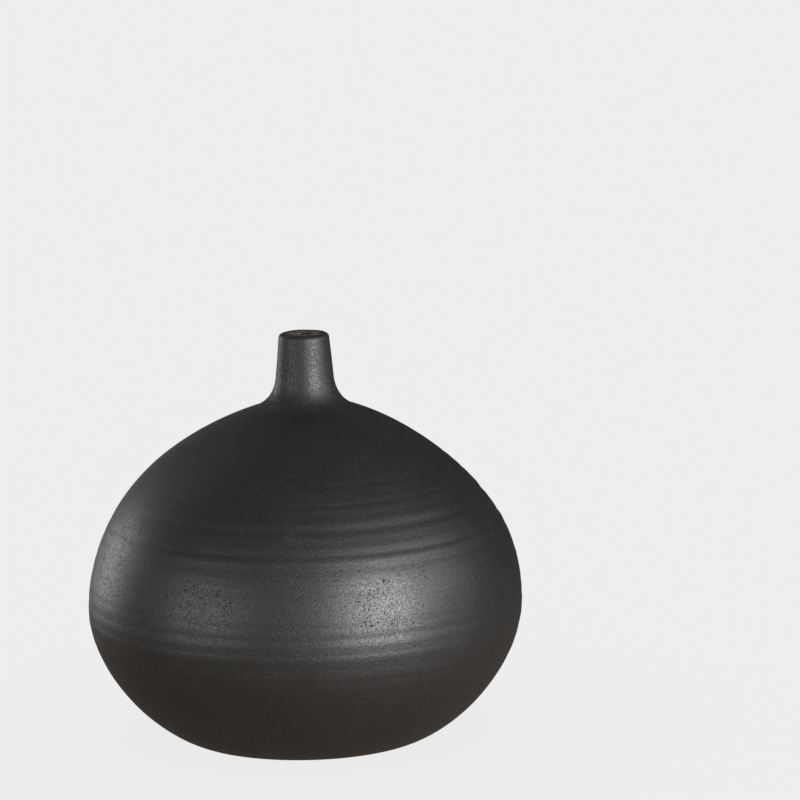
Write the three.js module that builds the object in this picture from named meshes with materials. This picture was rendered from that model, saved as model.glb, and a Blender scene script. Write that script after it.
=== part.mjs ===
// Round black clay bottle, built the way a potter builds it: a floor slab, a reinforcing coil,
// five courses of wall, a neck collar and a mouth ring, luted together with slip.
// Millimetres, +Z up, origin at the middle of the underside. Each wall joint is a roof-shaped
// ridge in a matching notch, and a thin gap stands for the film of slip between the two.

import * as THREE from 'three';

// Driving dimensions: the outside
const HEIGHT = 280;
const BELLY_RADIUS = 150;
const BELLY_HEIGHT = 91.5;
const FOOT_RADIUS = 85.5;
const FOOT_RISE = THREE.MathUtils.degToRad(21);
const FOOT_PULL = 28;
const LOWER_PULL = 40;
const UPPER_PULL = 79;
const SHOULDER_RADIUS = 36;
const SHOULDER_HEIGHT = 228.5;
const SHOULDER_FALL = THREE.MathUtils.degToRad(19.3);
const SHOULDER_PULL = 45;
const COVE_FOOT_PULL = 6.3;
const COVE_TOP_PULL = 14;
const NECK_RADIUS = 20;
const NECK_HEIGHT = 250;
const LIP_RADIUS = 17.4;
const LIP_ROUNDING = 3;

// The neck was closed by hand and stands a little to one side of the body's axis
const NECK_OFFSET = 3.4;
const OFFSET_FROM_HEIGHT = 187;
const OFFSET_TO_HEIGHT = 242;

// Driving dimensions: walls, joints and mouth
const FLOOR_THICKNESS = 9;
const FLOOR_RADIUS = 80;
const WALL_AT_FOOT = 9;
const WALL_AT_NECK = 6.5;
const BOWL_SEAM_HEIGHT = 55;
const BELLY_SEAM_HEIGHT = 98;
const SHOULDER_SEAM_HEIGHT = 152;
const CROWN_SEAM_HEIGHT = 192;
const NECK_SEAM_HEIGHT = 227.5;
const MOUTH_SEAM_HEIGHT = 267;
const JOINT_RIDGE = 2;
const SLIP_FILM = 0.36;
const COIL_INNER_RADIUS = 67;
const COIL_WALL_REACH = 12;
const COIL_EDGE = 1;
const COIL_CROWN = new THREE.Vector2(83, 17);
const MOUTH_RADIUS = 4.8;
const MOUTH_ROUNDING = 1.2;
const DISH_DEPTH = 0.6;
const THROAT_LENGTH = 6;

const ROUND_SEGMENTS = 48;
const BLACK_CLAY = 0x2d2c2a;
const RIM_CLAY = 0x3a322c;

// The outline of the outside, from the foot up to the lip's rounding
function outsideOutline() {
  const foot = new THREE.Vector2(FOOT_RADIUS, 0);
  const belly = new THREE.Vector2(BELLY_RADIUS, BELLY_HEIGHT);
  const shoulder = new THREE.Vector2(SHOULDER_RADIUS, SHOULDER_HEIGHT);
  const neck = new THREE.Vector2(NECK_RADIUS, NECK_HEIGHT);
  const lip = new THREE.Vector2(LIP_RADIUS, HEIGHT - LIP_ROUNDING);
  const footRise = new THREE.Vector2(Math.cos(FOOT_RISE), Math.sin(FOOT_RISE));
  const shoulderFall = new THREE.Vector2(Math.cos(SHOULDER_FALL), -Math.sin(SHOULDER_FALL));
  const up = new THREE.Vector2(0, 1);
  const neckFlare = neck.clone().sub(lip).normalize();
  const along = (point, direction, length) => point.clone().addScaledVector(direction, length);

  const outline = new THREE.CurvePath();
  outline.add(new THREE.CubicBezierCurve(
    foot, along(foot, footRise, FOOT_PULL), along(belly, up, -LOWER_PULL), belly));
  outline.add(new THREE.CubicBezierCurve(
    belly, along(belly, up, UPPER_PULL), along(shoulder, shoulderFall, SHOULDER_PULL), shoulder));
  outline.add(new THREE.CubicBezierCurve(
    shoulder, along(shoulder, shoulderFall, -COVE_FOOT_PULL), along(neck, neckFlare, COVE_TOP_PULL), neck));
  outline.add(new THREE.LineCurve(neck, lip));
  return outline;
}

const outline = outsideOutline();
const outlineLength = outline.getLength();

// Points are found by their distance along the outline, in millimetres from the foot
const outsideAt = (distance) => outline.getPoint(distance / outlineLength);
const tangentAt = (distance) => outline.getTangent(distance / outlineLength);
const wallAt = (distance) => THREE.MathUtils.lerp(WALL_AT_FOOT, WALL_AT_NECK, distance / outlineLength);

// The inside of the wall, or a point a little further in, at right angles to the outside
function insideAt(distance, clearance = 0) {
  const tangent = tangentAt(distance);
  const inward = new THREE.Vector2(-tangent.y, tangent.x);
  return outsideAt(distance).addScaledVector(inward, wallAt(distance) + clearance);
}

// The outline only ever climbs, so halving finds the distance at which it reaches a height
function distanceAtHeight(height) {
  let low = 0;
  let high = outlineLength;
  while (high - low > 0.001) {
    const middle = (low + high) / 2;
    if (outsideAt(middle).y < height) low = middle;
    else high = middle;
  }
  return low;
}

// Evenly spaced points of a run of the wall, each found by the given function
function run(pointAt, from, to, steps) {
  return Array.from({ length: steps + 1 }, (_, i) => pointAt(from + ((to - from) * i) / steps));
}

// The crest of the roof-shaped joint across the wall
function jointCrest(distance) {
  const middle = outsideAt(distance).lerp(insideAt(distance), 0.5);
  return middle.addScaledVector(tangentAt(distance), JOINT_RIDGE);
}

// Carries everything above the shoulder over to the neck's own axis, smoothly with height
function setNeckAside(geometry) {
  const position = geometry.attributes.position;
  for (let i = 0; i < position.count; i += 1) {
    const share = THREE.MathUtils.smoothstep(position.getZ(i), OFFSET_FROM_HEIGHT, OFFSET_TO_HEIGHT);
    position.setX(i, position.getX(i) + NECK_OFFSET * share);
  }
}

// A closed profile turned round the pot's own upright axis
function turned(name, profile, color, roughness) {
  const geometry = new THREE.LatheGeometry(profile, ROUND_SEGMENTS);
  geometry.rotateX(Math.PI / 2);
  setNeckAside(geometry);
  geometry.computeVertexNormals();
  const material = new THREE.MeshStandardMaterial({ color, roughness, metalness: 0 });
  const mesh = new THREE.Mesh(geometry, material);
  mesh.name = name;
  return mesh;
}

function floorSlab() {
  const profile = [
    new THREE.Vector2(0, 0),
    new THREE.Vector2(FLOOR_RADIUS, 0),
    new THREE.Vector2(FLOOR_RADIUS + JOINT_RIDGE, FLOOR_THICKNESS / 2),
    new THREE.Vector2(FLOOR_RADIUS, FLOOR_THICKNESS),
    new THREE.Vector2(0, FLOOR_THICKNESS),
  ];
  return turned('floor_slab', profile, BLACK_CLAY, 0.6);
}

// The coil lies on the slab and against the wall, thumbed down to blunt edges
function floorSeamCoil() {
  const bed = FLOOR_THICKNESS + SLIP_FILM;
  const wallBed = (distance) => insideAt(distance, SLIP_FILM);
  const top = wallBed(COIL_WALL_REACH).add(new THREE.Vector2(0, COIL_EDGE));
  const innerEdge = new THREE.Vector2(COIL_INNER_RADIUS, bed + COIL_EDGE);
  const profile = [
    new THREE.Vector2(COIL_INNER_RADIUS, bed),
    new THREE.Vector2(FLOOR_RADIUS + WALL_AT_FOOT / 2, bed),
    ...run(wallBed, 4, COIL_WALL_REACH, 2),
    ...new THREE.QuadraticBezierCurve(top, COIL_CROWN, innerEdge).getPoints(5),
    new THREE.Vector2(COIL_INNER_RADIUS, bed),
  ];
  return turned('floor_seam_coil', profile, BLACK_CLAY, 0.7);
}

// The lowest course has the foot's flat ring under it, and its notch takes the slab's edge
function footCourse(to) {
  const edge = FLOOR_RADIUS + SLIP_FILM;
  const inside = run(insideAt, to, 0, 8).filter((point) => point.y > FLOOR_THICKNESS + 0.5);
  const profile = [
    new THREE.Vector2(edge, 0),
    ...run(outsideAt, 0, to, 7),
    jointCrest(to),
    ...inside,
    new THREE.Vector2(edge + WALL_AT_FOOT / 2, FLOOR_THICKNESS),
    new THREE.Vector2(edge, FLOOR_THICKNESS),
    new THREE.Vector2(edge + JOINT_RIDGE, FLOOR_THICKNESS / 2),
    new THREE.Vector2(edge, 0),
  ];
  return turned('foot_course', profile, BLACK_CLAY, 0.55);
}

// One course of wall between two roof-shaped joints
function wallCourse(name, from, to, steps) {
  const profile = [
    ...run(outsideAt, from, to, steps),
    jointCrest(to),
    ...run(insideAt, to, from, steps),
    jointCrest(from),
    outsideAt(from),
  ];
  return turned(name, profile, BLACK_CLAY, 0.55);
}

// The lip: rounded over outside, dished on top, rounded again into the mouth, open below
function mouthRing(from) {
  const rimTop = new THREE.Vector2(LIP_RADIUS - LIP_ROUNDING, HEIGHT);
  const dishEdge = new THREE.Vector2(MOUTH_RADIUS + MOUTH_ROUNDING, HEIGHT - DISH_DEPTH);
  const mouthTop = new THREE.Vector2(MOUTH_RADIUS, HEIGHT - DISH_DEPTH - MOUTH_ROUNDING);
  const mouthFoot = new THREE.Vector2(MOUTH_RADIUS, mouthTop.y - THROAT_LENGTH);
  const lip = new THREE.EllipseCurve(
    rimTop.x, HEIGHT - LIP_ROUNDING, LIP_ROUNDING, LIP_ROUNDING, 0, Math.PI / 2);
  const dish = new THREE.QuadraticBezierCurve(
    rimTop, new THREE.Vector2(rimTop.x - LIP_ROUNDING, HEIGHT), dishEdge);
  const rounding = new THREE.QuadraticBezierCurve(
    dishEdge, new THREE.Vector2(MOUTH_RADIUS, dishEdge.y), mouthTop);
  const profile = [
    outsideAt(from),
    ...lip.getPoints(4),
    ...dish.getPoints(3).slice(1),
    ...rounding.getPoints(3).slice(1),
    mouthFoot,
    insideAt(from),
    jointCrest(from),
    outsideAt(from),
  ];
  return turned('mouth_ring', profile, RIM_CLAY, 0.65);
}

const bowlSeam = distanceAtHeight(BOWL_SEAM_HEIGHT);
const bellySeam = distanceAtHeight(BELLY_SEAM_HEIGHT);
const shoulderSeam = distanceAtHeight(SHOULDER_SEAM_HEIGHT);
const crownSeam = distanceAtHeight(CROWN_SEAM_HEIGHT);
const neckSeam = distanceAtHeight(NECK_SEAM_HEIGHT);
const mouthSeam = distanceAtHeight(MOUTH_SEAM_HEIGHT);

const group = new THREE.Group();
group.add(floorSlab());
group.add(floorSeamCoil());
group.add(footCourse(bowlSeam));
group.add(wallCourse('bowl_course', bowlSeam + SLIP_FILM, bellySeam, 5));
group.add(wallCourse('belly_course', bellySeam + SLIP_FILM, shoulderSeam, 5));
group.add(wallCourse('shoulder_course', shoulderSeam + SLIP_FILM, crownSeam, 6));
group.add(wallCourse('crown_course', crownSeam + SLIP_FILM, neckSeam, 7));
group.add(wallCourse('neck_collar', neckSeam + SLIP_FILM, mouthSeam, 9));
group.add(mouthRing(mouthSeam + SLIP_FILM));

export default group;
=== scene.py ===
"""The round black clay bottle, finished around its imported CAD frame. Metres, +Z up.

Every CAD piece is replaced by its own fine-grained clay piece in the same place. The outside of
neighbouring pieces meets edge to edge, as smoothed clay does, and the joints stay inside the wall.
"""
import math

import bpy
import numpy as np
from mathutils import Euler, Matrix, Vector


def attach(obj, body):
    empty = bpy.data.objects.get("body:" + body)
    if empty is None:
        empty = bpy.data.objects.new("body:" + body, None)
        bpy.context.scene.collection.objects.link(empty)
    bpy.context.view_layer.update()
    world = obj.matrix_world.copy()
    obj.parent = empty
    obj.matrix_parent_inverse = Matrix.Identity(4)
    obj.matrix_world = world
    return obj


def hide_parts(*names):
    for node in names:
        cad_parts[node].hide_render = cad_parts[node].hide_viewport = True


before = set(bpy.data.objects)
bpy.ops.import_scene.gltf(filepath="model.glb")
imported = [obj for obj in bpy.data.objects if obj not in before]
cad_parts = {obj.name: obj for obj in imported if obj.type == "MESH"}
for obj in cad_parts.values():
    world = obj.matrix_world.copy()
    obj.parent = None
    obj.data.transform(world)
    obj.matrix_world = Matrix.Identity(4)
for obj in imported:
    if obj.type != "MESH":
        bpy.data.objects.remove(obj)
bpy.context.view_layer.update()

MM = 0.001

# Lengths are in millimetres up to the clay's tones, and heights are above the ground. Rows, samples
# and columns are counts. A pull is the length of a curve's handle.

# Outline of the outside
HEIGHT = 280.0
BELLY_RADIUS = 150.0
BELLY_HEIGHT = 91.5
FOOT_RADIUS = 85.5
FOOT_RISE = math.radians(21)
FOOT_PULL = 28.0
LOWER_PULL = 40.0
UPPER_PULL = 79.0
SHOULDER_RADIUS = 36.0
SHOULDER_HEIGHT = 228.5
SHOULDER_FALL = math.radians(19.3)
SHOULDER_PULL = 45.0
COVE_FOOT_PULL = 6.3
COVE_TOP_PULL = 14.0
NECK_RADIUS = 20.0
NECK_HEIGHT = 250.0
LIP_RADIUS = 17.4
LIP_ROUNDING = 3.0
LOWER_SAMPLES = 400
UPPER_SAMPLES = 600
COVE_SAMPLES = 200
NECK_SAMPLES = 60

# Floor, walls and joints
FLOOR_THICKNESS = 9.0
FLOOR_RADIUS = 80.0
FLOOR_CLEARANCE = 0.6
WALL_AT_FOOT = 9.0
WALL_AT_NECK = 6.5
BOWL_SEAM = 55.0
BELLY_SEAM = 98.0
SHOULDER_SEAM = 152.0
CROWN_SEAM = 192.0
NECK_SEAM = 227.5
MOUTH_SEAM = 267.0
JOINT_RIDGE = 2.0
SLIP_FILM = 0.36
NOTCH_LIFT = 0.1
FOOT_BEVEL = 0.3

# Shares of the way through the wall
MID_WALL = 0.5
NOTCH_EDGE = 0.05

# The thumbed coil in the corner of floor and wall, with its number of thumb marks
COIL_INNER_RADIUS = 67.0
COIL_CROWN_RADIUS = 80.0
COIL_CROWN = 14.6
COIL_CROWN_PULL = 4.0
COIL_WALL_HEIGHT = 5.6
COIL_EDGE = 1.0
COIL_ROWS = 14
THUMB_MARKS = 26
THUMB_DENT = 0.7
THUMB_DRIFT = 0.6

# The lip and the mouth. A stretch is how many times tighter the waves lie than on the wall.
LIP_START = 0.4
LIP_CREST = 0.5
LIP_UNEVENNESS = 0.12
LIP_STRETCH = 4.0
DISH_DEPTH = 0.6
DISH_RIM_PULL = 3.0
DISH_MOUTH_PULL = (2.0, 0.3)
TORN_START = 3.0
TORN_END = (9.0, 12.5)
TORN_UNEVENNESS = 0.45
TORN_STRETCH = 9.0
MOUTH_RADIUS = 4.8
MOUTH_ROUNDING = 0.8
MOUTH_EDGE_PULL = 0.5
MOUTH_BACK = 1.0
MOUTH_NARROWING = 0.5
MOUTH_REACH = 5.0
THROAT_LENGTH = 6.0
LIP_ROWS = 12
DISH_ROWS = 14
MOUTH_ROWS = 8
THROAT_ROWS = 6

# Departures from a true circle: number of lobes, size and phase
BODY_LOBES = ((2, 0.35, 0.7), (3, 0.2, 2.1))
MOUTH_LOBES = ((2, 1.1, 0.3), (3, 0.45, 1.0))

# The neck stands to one side, and so does the belly a little
NECK_OFFSET = 3.4
OFFSET_FROM_HEIGHT = 187.0
OFFSET_TO_HEIGHT = 242.0
BULGE_OFFSET = 1.3
BULGE_HEIGHT = 138.0
BULGE_SPREAD = 42.0

# Marks of the hand: the heights over which they set in and fade out, and how deep they are
MARKS_BEGIN = (4.0, 25.0)
MARKS_END = (205.0, 232.0)
FLAT_FOOT = (0.0, 3.0)
SLOW_DEPTH = 0.10
LINE_DEPTH = 0.018
INSIDE_DEPTH = 0.25
INSIDE_STRETCH = 1.3

# Rings are pressed unevenly, and the upper ones hardest on one side, fading towards the other.
# Unevenness and fade are shares of a ring's depth, and the arc is in cosines from that side.
RING_UNEVENNESS = 0.3
UPPER_FADE = 0.9
UPPER_SIDE = math.radians(-55)
UPPER_ARC = (-0.7, 0.4)
UPPER_HEIGHTS = (135.0, 160.0)

# Fineness of the meshes: columns round the pot, and steps along the wall
COLUMNS = 384
SKIN_STEP = 1.25
INNER_STEP = 5.0
SLAB_CENTRE = 4.0
SLAB_ROWS = 20
FOOT_ROWS = 4

# Marks of the potter's fingers: height, depth (plus stands out, minus is cut in) and half-width
FINGER_RINGS = (
    (56.5, -0.08, 2.6),
    (63.0, 0.07, 2.4),
    (67.2, -0.03, 1.6),
    (70.4, 0.06, 2.3),
    (77.4, -0.10, 2.2),
    (83.4, 0.09, 2.6),
    (88.2, -0.06, 1.9),
    (93.0, 0.06, 2.0),
    (98.2, -0.10, 1.9),
    (102.5, 0.04, 1.8),
    (106.3, -0.06, 1.7),
    (110.5, 0.05, 1.8),
    (123.8, 0.09, 1.9),
    (128.4, -0.10, 1.9),
    (137.6, 0.05, 1.8),
    (142.7, -0.11, 1.5),
    (148.2, 0.21, 2.0),
    (151.9, -0.18, 1.5),
    (156.6, 0.09, 2.1),
    (162.0, 0.05, 1.2),
    (166.6, -0.32, 2.0),
    (171.6, 0.21, 1.7),
    (178.0, 0.07, 1.4),
    (181.3, -0.15, 1.3),
    (189.5, 0.06, 1.5),
    (192.2, -0.13, 1.2),
    (206.0, -0.05, 2.0),
)

# Clay tones, dark and pale. The brown pair is a painted warm reflection of the floor on the low wall.
SMOKED_CLAY = ((0.0115, 0.0107, 0.0096, 1), (0.0182, 0.0171, 0.0156, 1))
REFLECTED_FLOOR_BROWNS = ((0.0165, 0.0115, 0.0090, 1), (0.0220, 0.0160, 0.0125, 1))
# The pale pair is raw clay on the lip top, made paler still by painted light from above on its upward face
RAW_AND_TOPLIT_CLAY = ((0.045, 0.037, 0.030, 1), (0.27, 0.225, 0.185, 1))
REFLECTED_FLOOR_SHARE = 0.7
RAW_AND_TOPLIT_SHARE = 0.8
CLAY_IOR = 1.9

# Clay patterns: noise scales per metre, and the levels of noise that a pattern starts and ends at
GRAIN_SCALE = 1050.0
PIT_SCALE = 560.0
SAND_SCALE = 420.0
TORN_SCALE = 260.0
PATCH_SCALE = 45.0
CLOUD_SCALE = 14.0
LINE_STRETCH = (6.0, 6.0, 420.0)
SPECK_LEVELS = (0.50, 0.61)
GRAIN_LEVELS = (0.38, 0.62)
PATCH_LEVELS = (0.35, 0.70)
TORN_LEVELS = (0.35, 0.65)
PIT_THRESHOLDS = (0.73, 0.62)
PIT_EDGE = 0.06

# How the tone changes across the grain, and the painted shade darkening a pit, as shares of the clay's own
# tone
GRAIN_TONES = (1.5, 0.4)
PIT_PAINTED_SHADE = 0.25

# Where the clay changes, in metres: height of the low wall's painted warm reflection of the floor, and
# distances from the mouth's middle
REFLECTED_FLOOR_HEIGHTS = (0.06, 0.13)
REFLECTED_FLOOR_WANDER = 0.05
RAW_INNER_EDGE = (0.0044, 0.0060)
RAW_OUTER_EDGE = (0.0120, 0.0155)
RAW_WANDER = 0.004

# Roughness of the polished wall, and what specks, neck, pits and raw clay add to it
POLISH_LEVELS = (0.3, 0.7)
POLISH_ROUGHNESS = (0.39, 0.43)
SPECK_ROUGHNESS = 0.17
NECK_ROUGHNESS = 0.085
NECK_ROUGH_HEIGHTS = (0.225, 0.245)
PIT_ROUGHNESS = 0.3
RAW_ROUGHNESS = 0.3

# Relief too fine for the mesh: shares of sand, specks and pits, and depths in metres
SAND_RELIEF = 0.26
SPECK_RELIEF = 0.22
PIT_RELIEF = 0.4
GRAIN_BUMP = 0.00022
LINES_BUMP = 0.00006

# The viewer's eye, in metres and degrees
LOOK_AT = (0.0, 0.0, 0.1385)
EYE_DISTANCE = 3.115
EYE_ELEVATION = 12.0
CAMERA_ROLL = -1.3
LENS = 202.5
SENSOR = 36.0
LENS_SHIFT = (0.1208, 0.1686)

# The pale ground and the sky that lights it, in metres
GROUND_RADIUS = 14.0
GROUND_SIDES = 96
GROUND_DROP = 0.0002
PAPER_TONE = 0.855
PAPER_GLOW = 0.95
PAPER_MATT = 0.13
SKY_POWER = 0.75
SKY_ANGLE = math.radians(110)

# The room as the clay reflects it
ROOM_LEFT = (0.088, 0.086, 0.081, 1)
ROOM_RIGHT = (0.040, 0.039, 0.037, 1)
BACKDROP_LEFT = (0.22, 0.215, 0.20, 1)
BACKDROP_RIGHT = (0.035, 0.034, 0.033, 1)
ROOM_BELOW = (0.150, 0.124, 0.106, 1)

# Where one part of the room gives way to the next, as parts of a unit direction: to the right
# for the walls and the backdrop, upward for the floor and the backdrop's top, and backward
WALLS_EDGE = (0.2, 0.8)
BACKDROP_EDGE = (-0.2, 0.2)
FLOOR_EDGE = (-0.35, 0.05)
BACKDROP_TOP = (0.05, 0.55)
BEHIND_EDGE = (0.55, 0.95)

# Softboxes, in metres, degrees and watts: azimuth, elevation, width, height, power and colour
LAMP_AIM = (0.0, 0.0, 0.12)
LAMP_DISTANCE = 2.6
SOFTBOXES = {
    "key": (39.0, 8.5, 1.4, 1.75, 65.0, (0.955, 0.972, 1.0)),
    "key_haze": (73.0, 21.0, 1.3, 1.3, 8.6, (0.93, 0.96, 1.0)),
    "rear_strip": (-130.0, 5.0, 0.9, 1.15, 11.0, (0.97, 0.98, 1.0)),
    "rear_haze": (-128.0, 46.0, 1.6, 1.2, 1.2, (1.0, 0.985, 0.96)),
    "front_fill": (-53.0, 8.0, 1.8, 1.3, 12.5, (0.97, 0.98, 1.0)),
}


def bezier(start, leave, arrive, end, count):
    t = np.linspace(0.0, 1.0, count)[:, None]
    start, leave, arrive, end = map(np.array, (start, leave, arrive, end))
    return (1 - t) ** 3 * start + 3 * (1 - t) ** 2 * t * leave + 3 * (1 - t) * t**2 * arrive + t**3 * end


def outline_points():
    """The outside from the foot up to the lip's rounding, as fine (radius, height) rows."""
    foot = (FOOT_RADIUS, 0.0)
    belly = (BELLY_RADIUS, BELLY_HEIGHT)
    shoulder = (SHOULDER_RADIUS, SHOULDER_HEIGHT)
    neck = (NECK_RADIUS, NECK_HEIGHT)
    lip = (LIP_RADIUS, HEIGHT - LIP_ROUNDING)
    up = (0, 1)
    rise = (math.cos(FOOT_RISE), math.sin(FOOT_RISE))
    fall = (math.cos(SHOULDER_FALL), -math.sin(SHOULDER_FALL))
    neck_length = math.dist(neck, lip)
    flare = ((neck[0] - lip[0]) / neck_length, (neck[1] - lip[1]) / neck_length)

    def along(point, direction, length):
        return (point[0] + direction[0] * length, point[1] + direction[1] * length)

    lower = bezier(
        foot, along(foot, rise, FOOT_PULL), along(belly, up, -LOWER_PULL), belly, LOWER_SAMPLES
    )
    upper = bezier(
        belly, along(belly, up, UPPER_PULL), along(shoulder, fall, SHOULDER_PULL),
        shoulder, UPPER_SAMPLES,
    )
    cove = bezier(
        shoulder, along(shoulder, fall, -COVE_FOOT_PULL), along(neck, flare, COVE_TOP_PULL),
        neck, COVE_SAMPLES,
    )
    straight = np.linspace(neck, lip, NECK_SAMPLES)
    return np.vstack([lower, upper[1:], cove[1:], straight[1:]])


OUTLINE = outline_points()
OUTLINE_DISTANCE = np.concatenate([[0.0], np.cumsum(np.hypot(*np.diff(OUTLINE, axis=0).T))])
OUTLINE_LENGTH = OUTLINE_DISTANCE[-1]


def outside(distance):
    """Radius and height of the outline at a distance from the foot."""
    radius = np.interp(distance, OUTLINE_DISTANCE, OUTLINE[:, 0])
    height = np.interp(distance, OUTLINE_DISTANCE, OUTLINE[:, 1])
    return radius, height


def outline_direction(distance, reach=0.6):
    """Unit vector along the outline, as (radial, upward) parts."""
    low_r, low_z = outside(np.asarray(distance) - reach)
    high_r, high_z = outside(np.asarray(distance) + reach)
    length = np.hypot(high_r - low_r, high_z - low_z)
    return (high_r - low_r) / length, (high_z - low_z) / length


def wall_thickness(distance):
    return WALL_AT_FOOT + (WALL_AT_NECK - WALL_AT_FOOT) * distance / OUTLINE_LENGTH


def distance_at(height):
    return float(np.interp(height, OUTLINE[:, 1], OUTLINE_DISTANCE))


def smoothstep(value, low, high):
    t = np.clip((value - low) / (high - low), 0.0, 1.0)
    return t * t * (3 - 2 * t)


def aside(height):
    """How far the pot's own axis stands to one side at a height, in millimetres."""
    neck = NECK_OFFSET * smoothstep(height, OFFSET_FROM_HEIGHT, OFFSET_TO_HEIGHT)
    bulge = BULGE_OFFSET * np.exp(-(((height - BULGE_HEIGHT) / BULGE_SPREAD) ** 2))
    return neck + bulge


def hand_waves(seed, count, turns, wavelengths):
    """Random slow waves round and up the pot: (turns round, radians per mm, phase, size)."""
    rng = np.random.default_rng(seed)
    around = rng.integers(turns[0], turns[1] + 1, count)
    upward = 2 * np.pi / rng.uniform(*wavelengths, count) * rng.choice([-1, 1], count)
    phase = rng.uniform(0, 2 * np.pi, count)
    size = rng.uniform(0.5, 1.0, count) / math.sqrt(count)
    return list(zip(around, upward, phase, size))


SLOW_WAVES = hand_waves(seed=11, count=14, turns=(1, 9), wavelengths=(22.0, 70.0))
FINE_LINES = hand_waves(seed=23, count=16, turns=(0, 2), wavelengths=(3.0, 9.0))
RING_FADES = hand_waves(seed=37, count=5, turns=(1, 3), wavelengths=(60.0, 200.0))
LIP_WAVES = hand_waves(seed=41, count=8, turns=(1, 6), wavelengths=(20.0, 60.0))


def waves(table, height, angle):
    total = 0.0
    for around, upward, phase, size in table:
        total = total + size * np.cos(around * angle + upward * height + phase)
    return total


def lobes(table, angle):
    """How far a turned circle stands out where the hand left it with a few soft sides."""
    return sum(size * np.cos(sides * angle + phase) for sides, size, phase in table)


def relief(height, angle):
    """How far the clay stands out from the true outline, in millimetres."""
    on_wall = smoothstep(height, *MARKS_BEGIN) * (1 - smoothstep(height, *MARKS_END))
    off_floor = smoothstep(height, *FLAT_FOOT)
    far_side = smoothstep(-np.cos(angle - UPPER_SIDE), *UPPER_ARC)
    strength = 1.0 + RING_UNEVENNESS * waves(RING_FADES, height, angle)
    strength = strength * (1 - UPPER_FADE * smoothstep(height, *UPPER_HEIGHTS) * far_side)
    rings = 0.0
    for centre, depth, half_width in FINGER_RINGS:
        rings = rings + depth * np.exp(-(((height - centre) / half_width) ** 2))
    slow = SLOW_DEPTH * waves(SLOW_WAVES, height, angle)
    lines = LINE_DEPTH * waves(FINE_LINES, height, angle)
    return on_wall * (strength * rings + lobes(BODY_LOBES, angle)) + off_floor * (slow + lines)


def clay_point(radius, height, angle):
    """A point of the pot in metres, carried over to the pot's own leaning axis."""
    x = radius * np.cos(angle) + aside(height)
    return np.stack(np.broadcast_arrays(x, radius * np.sin(angle), height), axis=-1) * MM


def skin(distance, angle):
    """The outside with its finger marks."""
    radius, height = outside(distance)
    along_r, along_z = outline_direction(distance)
    out = relief(height, angle)
    return clay_point(radius + along_z * out, height - along_r * out, angle)


def inner(distance, angle):
    """The inside of the wall, with the broad marks of the hand."""
    radius, height = outside(distance)
    along_r, along_z = outline_direction(distance)
    marks = INSIDE_DEPTH * waves(SLOW_WAVES, height * INSIDE_STRETCH, -angle)
    depth = wall_thickness(distance) - marks
    return clay_point(radius - along_z * depth, height + along_r * depth, angle)


def joint(distance, share, lift=0.0):
    """A row inside the joint: share of the way through the wall, lifted along the wall."""
    along_r, along_z = outline_direction(distance)
    radius, height = outside(distance)

    def row(angle):
        depth = wall_thickness(distance) * share - relief(height, angle) * (1 - share)
        return clay_point(
            radius - along_z * depth + along_r * lift, height + along_r * depth + along_z * lift, angle
        )

    return row


def plain_row(radius, height):
    return lambda angle: clay_point(radius, height, angle)


def skin_row(distance):
    return lambda angle: skin(distance, angle)


def inner_row(distance):
    return lambda angle: inner(distance, angle)


def steps(low, high, size):
    """Even steps from low to high, both included, none longer than size."""
    return np.linspace(low, high, max(1, math.ceil(abs(high - low) / size)) + 1)


def turned_mesh(name, rows, capped=False):
    """A closed mesh from rows round the pot. The last row joins the first, or each has a centre."""
    angles = np.arange(COLUMNS) * 2 * np.pi / COLUMNS
    points = np.stack([row(angles) for row in rows]).reshape(-1, 3)
    row = np.arange(len(rows) - 1 if capped else len(rows))[:, None]
    low = row * COLUMNS
    high = (row + 1) % len(rows) * COLUMNS
    here = np.arange(COLUMNS)[None, :]
    after = (here + 1) % COLUMNS
    corners = np.broadcast_arrays(low + here, low + after, high + after, high + here)
    faces = np.stack(corners, axis=-1).reshape(-1, 4).tolist()
    if capped:
        first, last = len(points), len(points) + 1
        ends = (points[:COLUMNS].mean(axis=0), points[-COLUMNS:].mean(axis=0))
        points = np.vstack([points, *ends])
        top = (len(rows) - 1) * COLUMNS
        faces += [(first, int(b), int(a)) for a, b in zip(here[0], after[0])]
        faces += [(last, top + int(a), top + int(b)) for a, b in zip(here[0], after[0])]
    mesh = bpy.data.meshes.new(name)
    mesh.from_pydata(points.tolist(), [], faces)
    mesh.validate()
    mesh.shade_smooth()
    piece = bpy.data.objects.new(name, mesh)
    bpy.context.scene.collection.objects.link(piece)
    return piece


def skin_normals(distance, angles, reach=0.3, turn=0.002):
    """Outward directions of the marked outside, the same on both sides of a joint."""
    upward = skin(distance + reach, angles) - skin(distance - reach, angles)
    around = skin(distance, angles + turn) - skin(distance, angles - turn)
    normal = np.cross(around, upward)
    return normal / np.linalg.norm(normal, axis=-1, keepdims=True)


def blend_skin(piece, distances):
    """Shades the first rows by the marked outside, so that neighbouring pieces read as one wall."""
    angles = np.arange(COLUMNS) * 2 * np.pi / COLUMNS
    normals = np.empty(len(piece.data.vertices) * 3)
    piece.data.vertices.foreach_get("normal", normals)
    normals = normals.reshape(-1, 3)
    for i, distance in enumerate(distances):
        normals[i * COLUMNS : (i + 1) * COLUMNS] = skin_normals(distance, angles)
    piece.data.normals_split_custom_set_from_vertices(normals.tolist())


def joint_top(distance):
    """The ridge along the top of a course."""
    return [joint(distance, MID_WALL, JOINT_RIDGE)]


def joint_foot(distance):
    """The notch over the course below. It meets the outside edge and leaves the slip's film inside."""
    raised = distance + SLIP_FILM
    return [joint(raised, MID_WALL, JOINT_RIDGE), joint(raised, NOTCH_EDGE, NOTCH_LIFT)]


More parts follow.
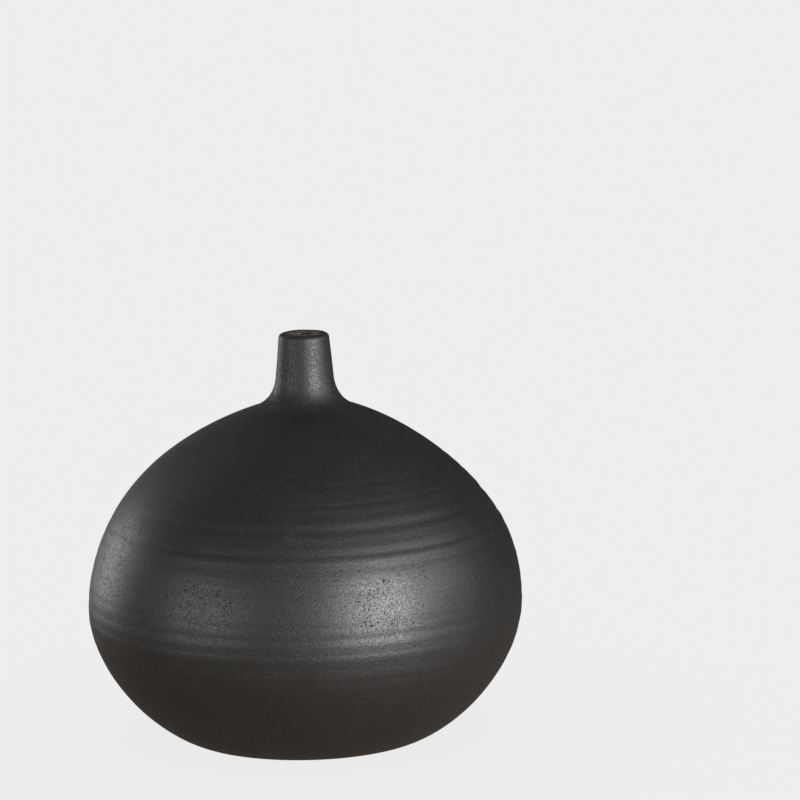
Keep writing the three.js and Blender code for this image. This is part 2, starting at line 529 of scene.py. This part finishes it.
def wall_course(name, low, high):
    outer = steps(low, high, SKIN_STEP)
    rows = [skin_row(d) for d in outer]
    rows += joint_top(high)
    rows += [inner_row(d) for d in steps(high, low + SLIP_FILM, INNER_STEP)]
    rows += joint_foot(low)
    piece = turned_mesh(name, rows)
    blend_skin(piece, outer)
    return piece


def foot_course(name, high):
    """The lowest course: a flat ring under the foot, and a notch for the slab's edge."""
    edge = FLOOR_RADIUS
    bed = (FLOOR_THICKNESS + FLOOR_CLEARANCE) * MM
    outer = steps(0.0, high, SKIN_STEP)
    rows = [skin_row(d) for d in outer]
    rows += joint_top(high)
    rows += [inner_row(d) for d in steps(high, 0.0, INNER_STEP) if inner(d, 0.0)[2] > bed]
    rows += [
        plain_row(edge + WALL_AT_FOOT / 2, FLOOR_THICKNESS),
        plain_row(edge + SLIP_FILM, FLOOR_THICKNESS),
        plain_row(edge + SLIP_FILM + JOINT_RIDGE, FLOOR_THICKNESS / 2),
        plain_row(edge + SLIP_FILM, FOOT_BEVEL),
        plain_row(edge, 0.0),
    ]
    rows += [plain_row(radius, 0.0) for radius in np.linspace(edge, FOOT_RADIUS, FOOT_ROWS)[1:-1]]
    piece = turned_mesh(name, rows)
    blend_skin(piece, outer)
    return piece


def floor_slab(name):
    radii = np.linspace(SLAB_CENTRE, FLOOR_RADIUS, SLAB_ROWS)
    rows = [plain_row(radius, 0.0) for radius in radii]
    rows.append(plain_row(FLOOR_RADIUS + JOINT_RIDGE, FLOOR_THICKNESS / 2))
    rows += [plain_row(radius, FLOOR_THICKNESS) for radius in radii[::-1]]
    return turned_mesh(name, rows, capped=True)


def seam_coil(name):
    """A coil of clay thumbed into the corner of floor and wall, dented where each thumb pressed."""
    bed = FLOOR_THICKNESS + SLIP_FILM
    outer_end = distance_at(COIL_WALL_HEIGHT)
    wall_r, wall_z = outside(outer_end)
    along_r, along_z = outline_direction(outer_end)
    depth = wall_thickness(outer_end) + SLIP_FILM
    top = (wall_r - along_z * depth, wall_z + along_r * depth + COIL_EDGE)
    arch = bezier(
        top, (COIL_CROWN_RADIUS + COIL_CROWN_PULL, COIL_CROWN),
        (COIL_CROWN_RADIUS - COIL_CROWN_PULL, COIL_CROWN),
        (COIL_INNER_RADIUS, bed + COIL_EDGE), COIL_ROWS,
    )

    def thumbed(radius, height, share):
        def row(angle):
            thumbs = np.cos(THUMB_MARKS * angle + THUMB_DRIFT * np.sin(3 * angle))
            return clay_point(radius, height - THUMB_DENT * share * (0.5 + 0.5 * thumbs), angle)
        return row

    rows = [plain_row(COIL_INNER_RADIUS, bed), plain_row(FLOOR_RADIUS + WALL_AT_FOOT / 2, bed)]
    rows.append(plain_row(top[0], top[1] - COIL_EDGE))
    for i, (radius, height) in enumerate(arch):
        rows.append(thumbed(radius, height, math.sin(math.pi * i / (len(arch) - 1))))
    return turned_mesh(name, rows)


def lip_rows():
    """The lip over its rounding, down the dish, round into the mouth and down the throat."""
    rim = LIP_RADIUS - LIP_ROUNDING
    dish_edge = (MOUTH_RADIUS + MOUTH_ROUNDING, HEIGHT - DISH_DEPTH)
    mouth_top = (MOUTH_RADIUS, HEIGHT - DISH_DEPTH - MOUTH_ROUNDING)
    dish_end = (dish_edge[0] + DISH_MOUTH_PULL[0], dish_edge[1] + DISH_MOUTH_PULL[1])
    turn = np.linspace(0.0, math.pi / 2, LIP_ROWS)[1:]
    over_r = rim + LIP_ROUNDING * np.cos(turn)
    over_z = HEIGHT + LIP_ROUNDING * (np.sin(turn) - 1)
    dish = bezier((rim, HEIGHT), (rim - DISH_RIM_PULL, HEIGHT), dish_end, dish_edge, DISH_ROWS)
    into = bezier(
        dish_edge, (MOUTH_RADIUS + MOUTH_EDGE_PULL, dish_edge[1]),
        (MOUTH_RADIUS, dish_edge[1] - MOUTH_EDGE_PULL), mouth_top, MOUTH_ROWS,
    )
    throat = np.linspace(mouth_top, (MOUTH_RADIUS, mouth_top[1] - THROAT_LENGTH), THROAT_ROWS)
    return np.vstack([np.stack([over_r, over_z], axis=1), dish[1:], into[1:], throat[1:]])


def lip_row(radius, height):
    """One row of the lip, a little uneven, with the mouth pinched out of round."""
    near_mouth = 1 - smoothstep(radius, MOUTH_RADIUS, MOUTH_RADIUS + MOUTH_REACH)
    on_top = smoothstep(height, HEIGHT - LIP_ROUNDING, HEIGHT - LIP_CREST)
    torn = smoothstep(radius, MOUTH_RADIUS, MOUTH_RADIUS + TORN_START) * (1 - smoothstep(radius, *TORN_END))

    def row(angle):
        pinch = near_mouth * lobes(MOUTH_LOBES, angle)
        uneven = LIP_UNEVENNESS * on_top * waves(LIP_WAVES, radius * LIP_STRETCH, angle)
        uneven = uneven + TORN_UNEVENNESS * torn * waves(LIP_WAVES, radius * TORN_STRETCH, 2 * angle)
        back = MOUTH_BACK * near_mouth * np.sin(angle)
        return clay_point(radius + pinch + back - MOUTH_NARROWING * near_mouth, height + uneven, angle)

    return row


def mouth_ring(name, low):
    outer = steps(low, OUTLINE_LENGTH - LIP_START, SKIN_STEP)
    rows = [skin_row(d) for d in outer]
    rows += [lip_row(radius, height) for radius, height in lip_rows()]
    rows.append(joint(low + SLIP_FILM, 1.0))
    rows += joint_foot(low)
    piece = turned_mesh(name, rows)
    blend_skin(piece, outer[:-1])
    return piece


class Nodes:
    """Short calls for building a node tree."""

    def __init__(self, tree):
        self.tree = tree
        tree.nodes.clear()

    def add(self, kind, inputs=None, **settings):
        node = self.tree.nodes.new(kind)
        for key, value in settings.items():
            setattr(node, key, value)
        for key, value in (inputs or {}).items():
            if isinstance(value, bpy.types.NodeSocket):
                self.tree.links.new(value, node.inputs[key])
            else:
                node.inputs[key].default_value = value
        return node

    def math(self, operation, a, b=0.0, clamp=False):
        return self.add("ShaderNodeMath", {0: a, 1: b}, operation=operation, use_clamp=clamp).outputs[0]

    def plus(self, a, b, clamp=False):
        return self.math("ADD", a, b, clamp)

    def minus(self, a, b):
        return self.math("SUBTRACT", a, b)

    def times(self, a, b):
        return self.math("MULTIPLY", a, b)

    def noise(self, vector, scale, detail=2.0, roughness=0.5):
        inputs = {"Vector": vector, "Scale": scale, "Detail": detail, "Roughness": roughness}
        return self.add("ShaderNodeTexNoise", inputs).outputs["Fac"]

    def span(self, value, low, high, to_low=0.0, to_high=1.0):
        """The value carried smoothly from low..high to to_low..to_high, and held at the ends."""
        inputs = {"Value": value, "From Min": low, "From Max": high, "To Min": to_low, "To Max": to_high}
        return self.add("ShaderNodeMapRange", inputs, interpolation_type="SMOOTHSTEP").outputs["Result"]

    def vector(self, operation, a, settings):
        return self.add("ShaderNodeVectorMath", {0: a, **settings}, operation=operation)

    def mix(self, factor, a, b):
        """A colour between a and b. Inputs 0, 6 and 7 and output 2 are the node's colour sockets."""
        return self.add("ShaderNodeMix", {0: factor, 6: a, 7: b}, data_type="RGBA").outputs[2]


def clay_material():
    """Smoke-blackened clay: satin where the fingers pressed it, sandy and pitted close to."""
    material = bpy.data.materials.new("black_clay")
    material.use_nodes = True
    n = Nodes(material.node_tree)
    place = n.add("ShaderNodeTexCoord").outputs["Object"]
    height = n.add("ShaderNodeSeparateXYZ", {0: place}).outputs["Z"]
    flat_rings = n.vector("MULTIPLY", place, {1: LINE_STRETCH}).outputs[0]

    grain = n.noise(place, GRAIN_SCALE, detail=1.0)
    specks = n.span(grain, *SPECK_LEVELS)
    sand = n.noise(place, SAND_SCALE, detail=1.0)
    lines = n.noise(flat_rings, scale=1.0)
    clouds = n.noise(place, CLOUD_SCALE, detail=3.0, roughness=0.55)
    patches = n.noise(place, PATCH_SCALE, detail=3.0, roughness=0.6)
    pitted_places = n.span(patches, *PATCH_LEVELS, *PIT_THRESHOLDS)
    hollows = n.noise(place, PIT_SCALE, detail=1.0, roughness=0.4)
    pits = n.span(n.minus(hollows, pitted_places), 0.0, PIT_EDGE)

    # Smoke leaves the clay nearly neutral above; the low wall is a little brown as a painted warm
    # reflection of the floor
    painted_floor_reflection = n.span(n.plus(height, n.times(clouds, REFLECTED_FLOOR_WANDER)), *REFLECTED_FLOOR_HEIGHTS, 1.0, 0.0)
    smoked = n.mix(clouds, *SMOKED_CLAY)
    brown = n.mix(patches, *REFLECTED_FLOOR_BROWNS)
    tone = n.mix(n.times(painted_floor_reflection, REFLECTED_FLOOR_SHARE), smoked, brown)
    # The grain's lighter and darker tone is the clay's own; the darkening in each pit is painted shade
    speckle_and_pit_shade = n.times(n.span(grain, *GRAIN_LEVELS, *GRAIN_TONES), n.span(pits, 0.0, 1.0, 1.0, PIT_PAINTED_SHADE))
    pitted = n.vector("SCALE", tone, {"Scale": speckle_and_pit_shade}).outputs[0]

    # The top of the lip was cut, not polished: raw brown clay between its rounded edge and the mouth,
    # painted paler still as painted light from above on its upward face, with the clay dark again down the
    # throat
    lip_middle = (NECK_OFFSET * MM, 0.0, HEIGHT * MM)
    from_axis = n.vector("DISTANCE", place, {1: lip_middle}).outputs["Value"]
    torn = n.noise(place, TORN_SCALE)
    worn_edge = n.plus(from_axis, n.times(torn, RAW_WANDER))
    lip_top = n.times(n.span(from_axis, *RAW_INNER_EDGE), n.span(worn_edge, *RAW_OUTER_EDGE, 1.0, 0.0))
    raw = n.mix(n.span(torn, *TORN_LEVELS), *RAW_AND_TOPLIT_CLAY)
    colour = n.mix(n.times(lip_top, RAW_AND_TOPLIT_SHARE), pitted, raw)

    rough = n.plus(n.span(patches, *POLISH_LEVELS, *POLISH_ROUGHNESS), n.times(specks, SPECK_ROUGHNESS))
    rough = n.plus(rough, n.span(height, *NECK_ROUGH_HEIGHTS, 0.0, NECK_ROUGHNESS))
    rough = n.plus(rough, n.times(pits, PIT_ROUGHNESS))
    rough = n.plus(rough, n.times(lip_top, RAW_ROUGHNESS), clamp=True)

    body = n.minus(n.times(sand, SAND_RELIEF), n.times(specks, SPECK_RELIEF))
    body = n.minus(body, n.times(pits, PIT_RELIEF))
    fine = n.add("ShaderNodeBump", {"Strength": 1.0, "Distance": GRAIN_BUMP, "Height": body})
    ringed = n.add(
        "ShaderNodeBump",
        {"Strength": 1.0, "Distance": LINES_BUMP, "Height": lines, "Normal": fine.outputs["Normal"]},
    )
    shader = n.add(
        "ShaderNodeBsdfPrincipled",
        {"Base Color": colour, "Roughness": rough, "Normal": ringed.outputs["Normal"], "IOR": CLAY_IOR},
    )
    n.add("ShaderNodeOutputMaterial", {"Surface": shader.outputs[0]})
    return material


def grey(value):
    return (value, value, value, 1)


def paper_material():
    """The pale ground: mostly its own flat tone, with a little left for the pot's soft shadow."""
    material = bpy.data.materials.new("paper")
    material.use_nodes = True
    n = Nodes(material.node_tree)
    glow = n.add("ShaderNodeEmission", {"Color": grey(PAPER_TONE), "Strength": PAPER_GLOW})
    matt = n.add("ShaderNodeBsdfDiffuse", {"Color": grey(PAPER_MATT)})
    both = n.add("ShaderNodeAddShader", {0: glow.outputs[0], 1: matt.outputs[0]})
    n.add("ShaderNodeOutputMaterial", {"Surface": both.outputs[0]})
    return material


def studio_world():
    """The room: pale where the camera looks, and dim grey where the clay looks.

    Low behind the pot the clay sees a pale backdrop on the left and a dark one on the right.
    """
    world = bpy.data.worlds.new("studio")
    bpy.context.scene.world = world
    world.use_nodes = True
    n = Nodes(world.node_tree)
    direction = n.add("ShaderNodeSeparateXYZ", {0: n.add("ShaderNodeTexCoord").outputs["Generated"]})
    right, behind, up = (direction.outputs[axis] for axis in "XYZ")
    from_below = n.span(up, *FLOOR_EDGE, 1.0, 0.0)
    walls = n.mix(n.span(right, *WALLS_EDGE), ROOM_LEFT, ROOM_RIGHT)
    backdrop = n.mix(n.span(right, *BACKDROP_EDGE), BACKDROP_LEFT, BACKDROP_RIGHT)
    low_behind = n.times(n.span(behind, *BEHIND_EDGE), n.span(up, *BACKDROP_TOP, 1.0, 0.0))
    room = n.mix(from_below, n.mix(low_behind, walls, backdrop), ROOM_BELOW)
    colour = n.mix(n.add("ShaderNodeLightPath").outputs["Is Camera Ray"], room, grey(PAPER_TONE))
    background = n.add("ShaderNodeBackground", {"Color": colour})
    n.add("ShaderNodeOutputWorld", {"Surface": background.outputs[0]})


def towards(azimuth, elevation, distance, centre):
    """A place seen from the pot: azimuth in degrees from the viewer's side, plus to the right."""
    a, e = math.radians(azimuth), math.radians(elevation)
    offset = Vector((math.sin(a) * math.cos(e), -math.cos(a) * math.cos(e), math.sin(e)))
    return Vector(centre) + offset * distance


def softbox(name, azimuth, elevation, width, height, power, colour, receivers):
    light = bpy.data.lights.new(name, "AREA")
    light.shape = "RECTANGLE"
    light.size, light.size_y = width, height
    light.energy = power
    light.color = colour
    lamp = bpy.data.objects.new(name, light)
    lamp.location = towards(azimuth, elevation, LAMP_DISTANCE, LAMP_AIM)
    aim = Vector(LAMP_AIM) - lamp.location
    lamp.rotation_euler = aim.to_track_quat("-Z", "Y").to_euler()
    lamp.light_linking.receiver_collection = receivers
    bpy.context.scene.collection.objects.link(lamp)


def lay_ground():
    """The pale ground. It lies a hair under the foot, so that the two flat faces never coincide."""
    bpy.ops.mesh.primitive_circle_add(
        vertices=GROUND_SIDES, radius=GROUND_RADIUS, fill_type="NGON", location=(0.0, 0.0, -GROUND_DROP)
    )
    ground = bpy.context.object
    ground.name = "ground"
    ground.data.materials.append(paper_material())
    ground.visible_diffuse = False
    ground.visible_glossy = False
    ground.visible_shadow = False
    return ground


def hang_sky(ground):
    """A broad light from above that falls on the ground only, for the pot's soft shadow."""
    below = bpy.data.collections.new("below")
    below.objects.link(ground)
    sky = bpy.data.lights.new("sky", "SUN")
    sky.energy = SKY_POWER
    sky.angle = SKY_ANGLE
    overhead = bpy.data.objects.new("sky", sky)
    overhead.light_linking.receiver_collection = below
    bpy.context.scene.collection.objects.link(overhead)


def set_camera():
    """The viewer's eye: far off, looking down a little, and turned about its own line of sight."""
    camera = bpy.data.cameras.new("camera")
    camera.lens = LENS
    camera.sensor_width = SENSOR
    camera.shift_x, camera.shift_y = LENS_SHIFT
    eye = bpy.data.objects.new("camera", camera)
    eye.location = towards(0.0, EYE_ELEVATION, EYE_DISTANCE, LOOK_AT)
    eye.rotation_euler = Euler((math.radians(90.0 - EYE_ELEVATION), 0.0, 0.0))
    eye.rotation_euler.rotate_axis("Z", math.radians(CAMERA_ROLL))
    bpy.context.scene.collection.objects.link(eye)
    bpy.context.scene.camera = eye


seams = [distance_at(h) for h in (BOWL_SEAM, BELLY_SEAM, SHOULDER_SEAM, CROWN_SEAM, NECK_SEAM, MOUTH_SEAM)]
bowl_seam, belly_seam, shoulder_seam, crown_seam, neck_seam, mouth_seam = seams
pieces = {
    "floor_slab": floor_slab("slab"),
    "floor_seam_coil": seam_coil("thumbed_coil"),
    "foot_course": foot_course("foot_clay", bowl_seam),
    "bowl_course": wall_course("bowl_clay", bowl_seam, belly_seam),
    "belly_course": wall_course("belly_clay", belly_seam, shoulder_seam),
    "shoulder_course": wall_course("shoulder_clay", shoulder_seam, crown_seam),
    "crown_course": wall_course("crown_clay", crown_seam, neck_seam),
    "neck_collar": wall_course("neck_clay", neck_seam, mouth_seam),
    "mouth_ring": mouth_ring("lip_clay", mouth_seam),
}
clay = clay_material()
pot = bpy.data.collections.new("pot")
for node, piece in pieces.items():
    piece.data.materials.append(clay)
    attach(piece, "root")
    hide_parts(node)
    pot.objects.link(piece)

studio_world()
for lamp_name, lamp_settings in SOFTBOXES.items():
    softbox(lamp_name, *lamp_settings, pot)
hang_sky(lay_ground())
set_camera()
bpy.context.scene.view_settings.view_transform = "Standard"
